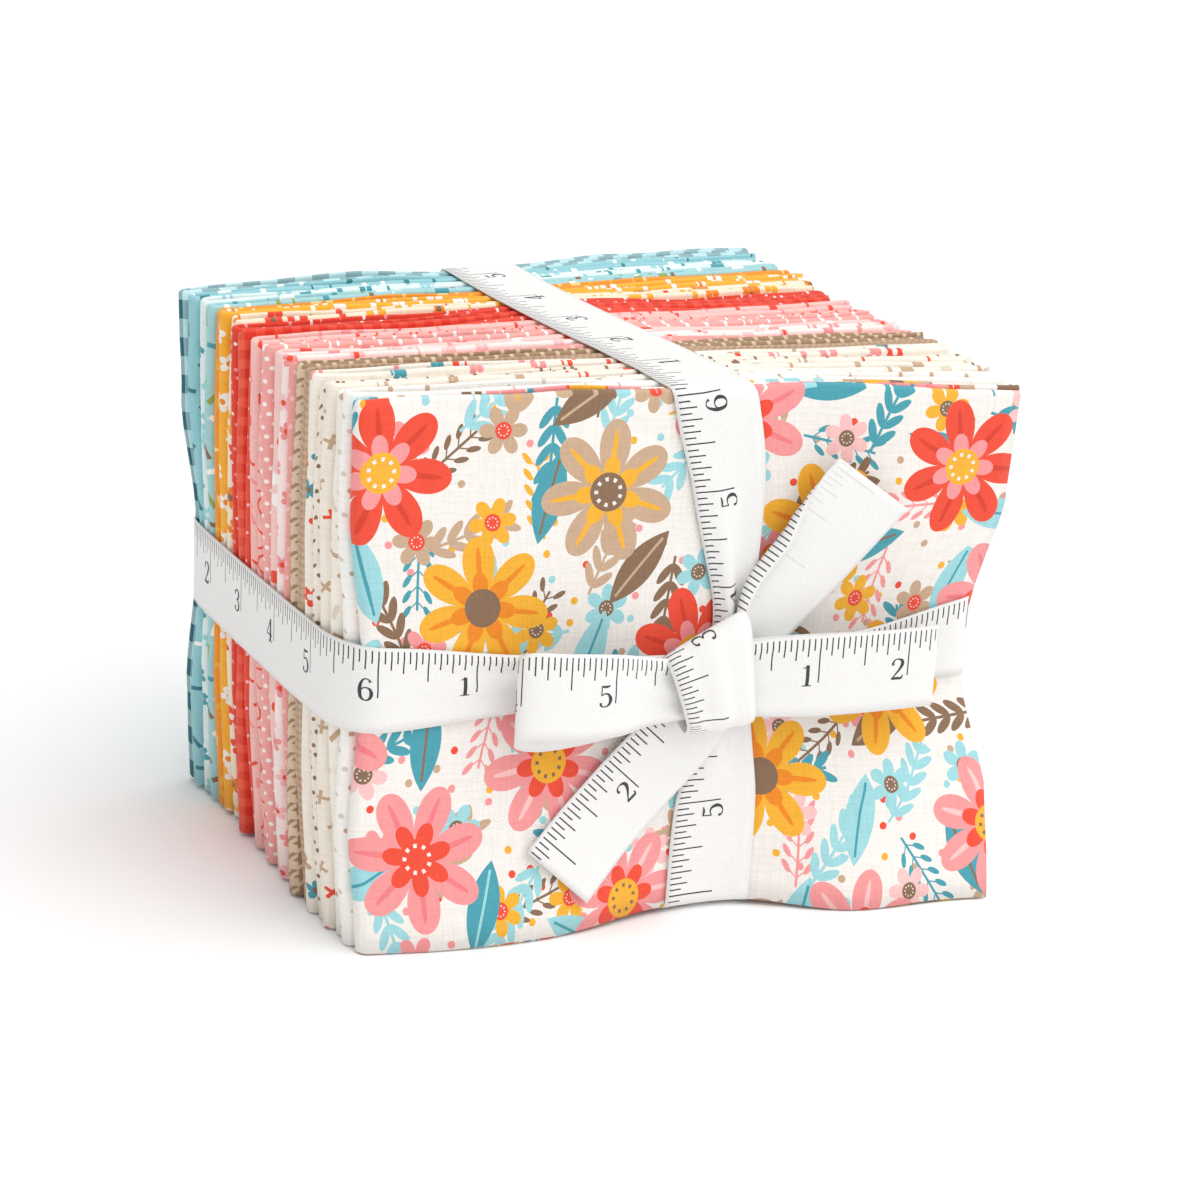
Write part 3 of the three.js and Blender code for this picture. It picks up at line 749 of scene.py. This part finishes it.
def keepRun(lifted, along, ring):  # where the numbers go, each unbroken length by itself
    if ring:
        lifted = np.concatenate([lifted, lifted[:1]])
    breaks = np.flatnonzero(np.abs(np.diff(along)) > inch / 4) + 1
    for part in np.split(np.arange(len(along)), breaks):
        part = part if along[part[-1]] > along[part[0]] else part[::-1]
        runs.append((lifted[part], along[part]))


def ringOutside(outline, lift, soft):  # a clockwise outline, moved out by lift and rounded at its corners
    even, length = resample(outline, ribbon["ringRows"])
    even = smoothRing(even, max(1, int(soft * ribbon["ringRows"] / length)))
    forward = np.roll(even, -1, axis=0) - np.roll(even, 1, axis=0)
    out = np.stack([-forward[:, 1], forward[:, 0]], axis=-1)
    out = out / np.linalg.norm(out, axis=1, keepdims=True)
    return even + out * lift, length


upright = {
    "top": 2.6,  # its middle across the top
    "topSlant": 3.8,  # how far it crosses the top aslant
    "under": 10.4,  # its middle across the underside
    "front": [  # its middle up the front: height, place to the right
        (0, 10.4), (31, 12.4), (50, 14.2), (68, 14.4), (91, 12.8), (116, 10.2), (128, 7.4), (140, 4.5)],
    "frontSoft": 10,
    "gathered": [  # the knot gathers it where it passes under: height, share of its width
        (0, 1), (20, 1), (32, 0.96), (52, 0.5), (84, 0.4), (92, 0.56), (105, 0.76), (126, 1), (140, 1)],
    "gatherSoft": 8,
    "pleat": 2.6,  # depth of the pleats there, half waves across it and how far they are moved over
    "pleats": 1.5,
    "pleatShift": 0.25,
    "steps": 60,
    "fifthAbove": 114.6,  # height of that inch mark above the knot, and below it
    "fifthBelow": 30,
}
uprightFront = softTable(upright["front"], upright["frontSoft"])
narrowed = softTable(upright["gathered"], upright["gatherSoft"])


def uprightBand():
    shares = np.linspace(0, 1, ribbon["depthSteps"])
    heights = np.linspace(bandUnder(0), bandTop(0), upright["steps"])
    down = np.linspace(bandTop(1), bandUnder(1), upright["steps"])
    lengthwise = upright["top"] + upright["topSlant"] * (0.5 - shares)
    deep = upright["pleat"]
    columns = []
    for t in np.linspace(-1, 1, ribbon["columns"]):
        plain = t * ribbon["width"] / 2
        frontX = uprightFront(heights) + plain * narrowed(heights)
        wave = math.cos(upright["pleats"] * math.pi * (t + upright["pleatShift"]))
        pleat = (1 - narrowed(heights)) * (deep * wave + deep)
        front = onStack(frontX, heights, 0, -pleat)
        top = onStack(lengthwise + plain, bandTop(shares), shares)
        back = onStack(mix(upright["under"], lengthwise[-1], down / stack["height"]) + plain, down, 1)
        under = onStack(upright["under"] + plain + 0 * shares, bandUnder(shares), shares)
        whole = np.concatenate([front[:-1], top[:-1], back[:-1], under[::-1][:-1]])
        ring, length = ringOutside(whole[:, 1:], ribbon["proud"], ribbon["cornerSoft"])
        even, _ = resample(whole, ribbon["ringRows"])
        columns.append(np.concatenate([even[:, :1], ring], axis=1))
    grid = np.stack(columns, axis=1)
    rise = bandUnder(0) + np.linspace(0, length, ribbon["ringRows"] + 1)
    fifthInch = np.where(rise > bow["loopHeight"], upright["fifthAbove"], upright["fifthBelow"])
    along = 5 * inch + rise - fifthInch
    layRibbon("ribbon_upright", "ribbon_band_upright", grid, along, True)


level = {
    "middle": 67,
    "front": [  # across the front: x, height of its middle, half its width
        (-88, 67.8, 11.6), (-62, 66.6, 10.8), (-44, 66, 8), (-18, 65.2, 6.2), (6, 64.8, 5.5),
        (32, 64.8, 6), (52, 65.8, 7.4), (68, 68, 10.4), (84, 69.8, 11.6)],
    "pleat": 1.3,
    "crossing": 5,  # where it passes over the upright band, and how far to each side in front and behind
    "frontCrossing": 24,
    "backCrossing": 20,
    "start": 4,  # the run starts and ends behind the knot
    "cornerLift": 0.9,  # how far it stands off the left front corner
    "cornerReach": 9,
    "frontSteps": 90,
    "backSteps": 70,
    "softRows": 9,
    "sixthInch": 4.6,  # from the left front corner to that mark
    "stretch": 12,  # how much longer the tape is pulled over the back, from where and over what length
    "stretchFrom": 150,
    "stretchOver": 300,
}


def levelBand():
    shares = np.linspace(0, 1, ribbon["depthSteps"])
    leftX, rightX = bandLeft(shares), bandRight(shares)
    backX = np.linspace(bandLeft(1), bandRight(1), level["backSteps"])
    frontX = np.linspace(bandRight(0), bandLeft(0), level["frontSteps"])
    where, middle, half = np.array(level["front"]).T
    middle, half = np.interp(frontX, where, middle), np.interp(frontX, where, half)
    tight = 1 - half * 2 / ribbon["width"]
    overFront = np.exp(-((frontX - level["crossing"]) / level["frontCrossing"]) ** 4)
    overBack = np.exp(-((backX - level["crossing"]) / level["backCrossing"]) ** 4)
    start = int(np.argmin(np.abs(frontX - level["start"])))
    frontY = frontFace(frontX, level["middle"])
    cornerY = frontFace(bandLeft(0), level["middle"])
    columns = []
    for t in np.linspace(1, -1, ribbon["columns"]):
        z = level["middle"] + t * ribbon["width"] / 2
        pleat = level["pleat"] + level["pleat"] * math.cos(ribbon["pleats"] * math.pi * t)
        left = onStack(leftX, z, shares)
        back = onStack(backX, z, 1, overBack)
        right = onStack(rightX, z, shares)[::-1]
        front = np.stack([frontX, frontY - (overFront + tight * pleat), middle + t * half], -1)
        whole = np.concatenate([front[start:-1], left[:-1], back[:-1], right[:-1], front[:start]])
        corner = np.hypot(whole[:, 0] - bandLeft(0), whole[:, 1] - cornerY)
        even, _ = resample(np.column_stack([whole, corner]), ribbon["ringRows"])
        lift = ribbon["proud"] + level["cornerLift"] * np.exp(-(even[:, 3:] / level["cornerReach"]) ** 2)
        ring, _ = ringOutside(whole[:, :2], lift, ribbon["slackSoft"])
        columns.append(np.concatenate([ring, smoothRing(even[:, 2:3], level["softRows"])], axis=1))
    grid = np.stack(columns, axis=1)
    middleRow = grid[:, ribbon["columns"] // 2]
    past = lengthsAlong(middleRow)
    past = np.append(past, 2 * past[-1] - past[-2])
    around = past - past[int(np.argmin(middleRow[:, 0] + middleRow[:, 1]))]
    pulled = np.clip((around - level["stretchFrom"]) / level["stretchOver"], 0, 1)
    along = 6 * inch - level["sixthInch"] - (around - level["stretch"] * pulled)
    layRibbon("ribbon_level", "ribbon_band_level", grid, along, True)


def smoothCurve(rows, steps):  # a smooth line through the rows
    rows = np.array(rows, float)
    padded = np.concatenate([[2 * rows[0] - rows[1]], rows, [2 * rows[-1] - rows[-2]]])
    points = []
    for n in range(len(rows) - 1):
        a, b, c, d = padded[n:n + 4]
        for t in np.arange(steps) / steps:
            points.append(0.5 * (2 * b + (c - a) * t + (2 * a - 5 * b + 4 * c - d) * t ** 2
                                 + (3 * b - a - 3 * c + d) * t ** 3))
    return np.array(points + [rows[-1]])


bow = {
    "loopHeight": 64.6,
    "left": [  # x, how far proud of the face, half width, how far above the loops' height
        (1.5, 8.1, 7.6, -1.6), (-10.5, 8.6, 9, -1), (-21.5, 12, 10.8, 0), (-35.5, 13.6, 11.4, 1.2),
        (-44.5, 13, 11.4, 2), (-47.5, 10.6, 11.4, 0.6), (-45.5, 8, 11.4, -2.2), (-37.5, 6.4, 11.4, -3.8),
        (-23.5, 5.2, 10.8, -3.6), (-10.5, 5.2, 9, -2.2), (1.5, 5.4, 7.6, -1.6)],
    "right": [
        (5.5, 8.1, 8.6, 0), (19.5, 8.8, 10.4, 0.2), (34.5, 11.2, 11, 0.4), (52.5, 12, 11, 0.5),
        (65.5, 11.4, 11, 0.5), (69, 9.2, 11, -0.2), (66.5, 7, 11, -1.4), (54.5, 5.6, 11, -1.8),
        (36.5, 5, 11, -1.4), (19.5, 5.2, 10.4, -0.6), (5.5, 5.4, 8.6, 0)],
    "rowSteps": 8,
    "fifthInch": 24.4,  # from its start to that mark on the left loop, and to the first on the right loop
    "firstInch": 29,
    "gather": 0.9,  # depth of the pleats at the knot, where they start and how far they run out
    "gatherAt": 3,
    "gatherReach": 13,
}


def onFront(x, z, proud):  # a point that stands proud of the face under the bands
    return np.stack([x, frontFace(x, level["middle"]) - proud, z + 0 * x], -1)


def bowLoop(name, node, rows, start, forward):
    curve = smoothCurve(rows, bow["rowSteps"])
    near = np.exp(-np.abs(curve[:, 0] - bow["gatherAt"]) / bow["gatherReach"])
    columns = []
    for t in np.linspace(1, -1, ribbon["columns"]):
        pleat = bow["gather"] * near * math.cos(ribbon["pleats"] * math.pi * t)
        z = bow["loopHeight"] + t * curve[:, 2] + curve[:, 3]
        columns.append(onFront(curve[:, 0], z, curve[:, 1] + pleat))
    grid = np.stack(columns, axis=1)
    along = start + forward * lengthsAlong(grid[:, ribbon["columns"] // 2])
    layRibbon(name, node, grid, along, False)


knot = {
    "left": (-5.2, -0.36, 50.8, 71.8),  # x at the loops' height, its lean, bottom, top
    "right": (16.4, -0.13, 51.8, 83.2),
    "back": 3.4,
    "front": 10.4,
    "corner": 3,
    "crown": 1.1,  # how far its middle swells out, across it and along it
    "swell": 0.4,
    "pleat": 0.5,
    "pleats": 5,
    "rows": 72,
    "softRows": 3,
    "thirdInch": 27,  # from its lower edge up to that mark
}


def bowKnot():
    back, corner = knot["back"], knot["corner"]
    columns = []
    for t in np.linspace(0, 1, ribbon["columns"]):
        x, lean, bottom, top = (mix(a, b, t) for a, b in zip(knot["left"], knot["right"]))
        middle = (bottom + top) / 2
        swell = knot["crown"] * math.sin(math.pi * t) + knot["pleat"] * math.sin(knot["pleats"] * math.pi * t)
        front = knot["front"] + swell
        turn = [(bottom + corner, front), (middle, front + knot["swell"]), (top - corner, front),
                (top, front - corner), (top, back + corner), (top - corner, back), (middle, back),
                (bottom + corner, back), (bottom, back + corner), (bottom, front - corner)]
        even, _ = resample(np.array(turn), knot["rows"])
        even = smoothRing(even, knot["softRows"])
        columns.append(onFront(x + lean * (even[:, 0] - bow["loopHeight"]), even[:, 0], even[:, 1]))
    grid = np.stack(columns, axis=1)
    length = stepsAlong(grid[:, ribbon["columns"] // 2]).sum()
    along = 3 * inch - knot["thirdInch"] + np.linspace(0, length, knot["rows"] + 1)
    layRibbon("ribbon_knot", "bow_knot", grid, along, True)


tails = {
    "up": {  # rows: x, z, how far proud, half width
        "turn": 55, "marked": 1,
        "rows": [(16.1, 72, 4.2, 7), (21.5, 82.9, 3.7, 12.2), (29, 93.3, 4.8, 13.9), (37.8, 104.1, 6.6, 13.6),
                 (47.4, 114.3, 8, 12.6)]},
    "down": {
        "turn": 227, "marked": -1,
        "rows": [(8.5, 57.9, 4.2, 8), (0.2, 49, 3.7, 10.6), (-10.9, 37.8, 3.6, 11), (-22.5, 26.8, 5.2, 11),
                 (-33.9, 15.8, 6.2, 11)]},
    "curl": 4.8,  # width of the upper tail's marked edge that folds over, less and less towards its cut end
    "curlRadius": 0.8,
    "taper": 2.2,
    "fullHalf": 11,  # half width where it lies flat, and the pleats for each millimetre less
    "pleat": 0.25,
    "endWave": 0.35,
    "clear": 1.8,  # how far a tail stays off the cloth
    "secondInch": 28.8,  # how far from its start that mark falls on the lower tail
}


def bowTail(name, node, tail, start, curl):
    turn = math.radians(tail["turn"])
    across = np.array([-math.sin(turn), math.cos(turn)]) * tail["marked"]  # towards the marked edge
    curve = smoothCurve(tail["rows"], bow["rowSteps"])
    run = np.linspace(0, 1, len(curve))
    rolled = curl * np.clip(tails["taper"] * (1 - run), 0, 1)
    radius = tails["curlRadius"]
    deep = tails["pleat"] * (tails["fullHalf"] - curve[:, 3]) + tails["endWave"] * run
    columns = []
    for a in np.linspace(0, ribbon["width"], 2 * ribbon["columns"] + 1):
        angle = np.clip((rolled - a) / radius, 0, math.pi)  # the edge folds over towards the viewer
        flap = np.maximum(rolled - a - math.pi * radius, 0)
        off = ribbon["width"] / 2 - np.maximum(rolled, a) + radius * np.sin(angle) - flap
        off = off * curve[:, 3] * 2 / ribbon["width"]
        wave = math.sin(ribbon["pleats"] * math.pi * a / ribbon["width"]) * deep
        rise = radius * (1 - np.cos(angle)) + wave
        x, z = curve[:, 0] + off * across[0], curve[:, 1] + off * across[1]
        laid = onFront(x, z, curve[:, 2] + rise)
        onCloth = frontFace(x, z) - creased(x, z) - tails["clear"] - rise
        laid[:, 1] = np.minimum(laid[:, 1], onCloth)
        columns.append(laid)
    grid = np.stack(columns, axis=1)
    along = start - lengthsAlong(curve[:, :2])
    layRibbon(name, node, grid, along, False)


uprightBand()
levelBand()
bowLoop("ribbon_loop_left", "bow_loop_left", bow["left"], 5 * inch + bow["fifthInch"], -1)
bowLoop("ribbon_loop_right", "bow_loop_right", bow["right"], inch - bow["firstInch"], 1)
bowKnot()
bowTail("ribbon_tail_up", "bow_tail_up", tails["up"], 8 * inch, tails["curl"])
bowTail("ribbon_tail_down", "bow_tail_down", tails["down"], 2 * inch + tails["secondInch"], 0)
print("ribbon laid:", len(runs), "lengths")


# The numbers beside the inch marks

numbers = {
    "height": 6,
    "before": 3,  # from the middle of a number to its mark
    "down": 11.4,  # from the marked edge to the middle of a number
    "room": 6,  # length that a number and its mark take up
    "least": 0.85,  # a number that reaches less than that share of its height is lost in a bend
    "curveSteps": 6,
    "straightSteps": 12,
}
digits = {  # strokes of a plain serif figure, one high, about its middle: x, y and breadth along each
    1: [[(0, -0.5, 0.15), (0, 0.5, 0.15)], [(-0.2, -0.48, 0.05), (0.2, -0.48, 0.05)],
        [(0.03, 0.46, 0.07), (-0.1, 0.39, 0.05), (-0.21, 0.37, 0.03)]],
    2: [[(-0.22, 0.2, 0.13), (-0.24, 0.32, 0.1), (-0.15, 0.45, 0.06), (0, 0.48, 0.06), (0.18, 0.41, 0.13),
         (0.22, 0.24, 0.16), (0.12, 0.02, 0.12), (-0.08, -0.24, 0.07), (-0.26, -0.46, 0.05)],
        [(-0.27, -0.44, 0.1), (0, -0.44, 0.12), (0.2, -0.44, 0.1), (0.27, -0.28, 0.04)]],
    3: [[(-0.21, 0.27, 0.13), (-0.19, 0.4, 0.08), (0, 0.48, 0.05), (0.16, 0.42, 0.11), (0.2, 0.26, 0.14),
         (0.12, 0.1, 0.08), (-0.06, 0.04, 0.04)],
        [(-0.06, 0.04, 0.04), (0.14, -0.03, 0.08), (0.24, -0.22, 0.15), (0.17, -0.41, 0.1),
         (-0.02, -0.48, 0.05), (-0.2, -0.42, 0.08), (-0.22, -0.28, 0.13)]],
    4: [[(0.1, 0.49, 0.06), (-0.1, 0.16, 0.05), (-0.3, -0.18, 0.05)],
        [(-0.31, -0.2, 0.06), (0.31, -0.2, 0.06)],
        [(0.1, 0.5, 0.14), (0.1, -0.5, 0.14)], [(-0.08, -0.48, 0.05), (0.28, -0.48, 0.05)]],
    5: [[(-0.19, 0.46, 0.06), (0, 0.43, 0.11), (0.22, 0.48, 0.05)], [(-0.18, 0.48, 0.05), (-0.2, 0.04, 0.05)],
        [(-0.2, 0.04, 0.04), (-0.05, 0.12, 0.06), (0.13, 0.09, 0.1), (0.24, -0.12, 0.16), (0.19, -0.36, 0.11),
         (0, -0.48, 0.05), (-0.19, -0.43, 0.08), (-0.22, -0.29, 0.13)]],
    6: [[(0.2, 0.33, 0.13), (0.14, 0.44, 0.06), (0, 0.48, 0.05), (-0.14, 0.38, 0.09), (-0.24, 0.12, 0.14),
         (-0.25, -0.12, 0.16), (-0.18, -0.38, 0.12), (0, -0.48, 0.05), (0.18, -0.4, 0.11),
         (0.24, -0.18, 0.15), (0.17, 0.02, 0.1), (0, 0.09, 0.05), (-0.16, 0.02, 0.05), (-0.21, -0.1, 0.05)]],
}


def numberShape(strokes):  # points and faces of a figure
    points, faces = [], []
    for stroke in strokes:
        line = smoothCurve(stroke, numbers["curveSteps" if len(stroke) > 2 else "straightSteps"])
        forward = np.gradient(line[:, :2], axis=0)
        forward = forward / np.linalg.norm(forward, axis=1, keepdims=True)
        side = np.stack([-forward[:, 1], forward[:, 0]], -1) * line[:, 2:] / 2
        first = len(points)
        for left, right in zip(line[:, :2] + side, line[:, :2] - side):
            points.extend([left, right])
        faces.extend([first + 2 * n, first + 2 * n + 1, first + 2 * n + 3, first + 2 * n + 2]
                     for n in range(len(line) - 1))
    return np.array(points), faces


def onRibbon(run, along, across):  # points on the printed side of a run
    lifted, lengths = run
    k = np.interp(along, lengths, np.arange(len(lengths)))
    j = np.clip(across / ribbon["width"], 0, 1) * (lifted.shape[1] - 1)
    row = np.minimum(k.astype(int), len(lengths) - 2)
    column = np.minimum(j.astype(int), lifted.shape[1] - 2)
    down, side = (k - row)[:, None], (j - column)[:, None]
    near = mix(lifted[row, column], lifted[row, column + 1], side)
    far = mix(lifted[row + 1, column], lifted[row + 1, column + 1], side)
    return mix(near, far, down)


def printNumbers():
    shapes = {n: numberShape(strokes) for n, strokes in digits.items()}
    points, faces, corners = [], [], []
    total = 0
    for run in runs:
        first, last = run[1][0], run[1][-1]
        for whole in range(math.ceil((first + numbers["room"]) / inch), math.floor(last / inch) + 1):
            flat, shape = shapes[(whole - 1) % len(digits) + 1]
            along = whole * inch - numbers["before"] + flat[:, 0] * numbers["height"]
            across = numbers["down"] - flat[:, 1] * numbers["height"]
            placed = onRibbon(run, along, across)
            if np.linalg.norm(np.ptp(placed, axis=0)) < numbers["least"] * numbers["height"]:
                continue
            points.append(placed)
            for face in shape:
                faces.append([total + n for n in face])
                corners.extend((along[n] * mm, across[n] * mm) for n in face)
            total += len(flat)
    made = addMesh("ribbon_numbers", np.concatenate(points), faces, corners, figures)
    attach(made, "root")


printNumbers()
print("numbers printed")


# Floor, light and camera

studio = {
    "floor": "#fcfcfc",
    "floorSize": 30,  # metres
    "floorBelow": 0.0003,
    "mottle": 0.2,  # metres from one paler patch to the next
    "tone": (0.98, 1.02),
    "sky": "#ffffff",
    "skyStrength": 0.66,
    "sun": (0.35, -0.3, 0.89),  # where the wide soft light from above comes from
    "sunStrength": 1.75,
    "sunSpread": 70,
    "aim": (0, 0, 0.07),
    "lights": [  # place in metres, size, watts
        ((0.35, -1.1, 0.75), 1.0, 1.5),
    ],
}
view = {
    "azimuth": -27.49,
    "elevation": 17.86,
    "roll": 3.33,
    "distance": 740.5,
    "target": (5.29, -1.68, 64.4),
    "lens": 80.84,
    "sensor": 36,
    "nearest": 0.01,  # metres
}


def addFloor():  # uncoated paper: matte white, faintly mottled
    material, put = startMaterial("matte_white_paper", roughness=0.9, specular=0.1, sheen=0)
    mottle = put("TexNoise", {"Scale": studio["floorSize"] / studio["mottle"], "Detail": 2})
    tone = put("MapRange", (mottle, 0, 1, *studio["tone"]))
    colour = put("VectorMath", {0: linear(studio["floor"])[:3], "Scale": tone}, operation="SCALE")
    bpy.ops.mesh.primitive_plane_add(size=studio["floorSize"], location=(0, 0, -studio["floorBelow"]))
    floor = bpy.context.object
    floor.name = "floor"
    floor.data.materials.append(cover(material, colour))


def addLights():
    world = bpy.data.worlds.new("studio")
    bpy.context.scene.world = world
    world.use_nodes = True
    sky = world.node_tree.nodes["Background"]
    sky.inputs["Color"].default_value = linear(studio["sky"])
    sky.inputs["Strength"].default_value = studio["skyStrength"]
    sun = bpy.data.lights.new("overhead_bank", "SUN")
    sun.energy = studio["sunStrength"]
    sun.angle = math.radians(studio["sunSpread"])
    bank = addObject("overhead_bank", sun)
    bank.rotation_euler = Vector(studio["sun"]).to_track_quat("Z", "Y").to_euler()
    for n, (place, size, watts) in enumerate(studio["lights"], 1):
        lamp = bpy.data.lights.new(f"softbox_{n}", "AREA")
        lamp.size = size
        lamp.energy = watts
        holder = addObject(f"softbox_{n}", lamp)
        holder.location = place
        holder.rotation_euler = (Vector(studio["aim"]) - Vector(place)).to_track_quat("-Z", "Y").to_euler()


def addCamera():
    azimuth, elevation, roll = (math.radians(view[name]) for name in ("azimuth", "elevation", "roll"))
    back = Vector((math.sin(azimuth) * math.cos(elevation), -math.cos(azimuth) * math.cos(elevation),
                   math.sin(elevation)))
    right = Vector((0, 0, 1)).cross(back).normalized()
    up = back.cross(right)
    tilted = right * math.cos(roll) + up * math.sin(roll)
    camera = addObject("camera", bpy.data.cameras.new("camera"))
    camera.data.lens = view["lens"]
    camera.data.sensor_width = view["sensor"]
    camera.data.clip_start = view["nearest"]
    turned = Matrix((tilted, back.cross(tilted), back)).transposed().to_4x4()
    turned.translation = (Vector(view["target"]) + back * view["distance"]) * mm
    camera.matrix_world = turned
    bpy.context.scene.camera = camera


addFloor()
addLights()
addCamera()
bpy.context.scene.view_settings.view_transform = "Standard"  # inks show as they are mixed
print("studio set")
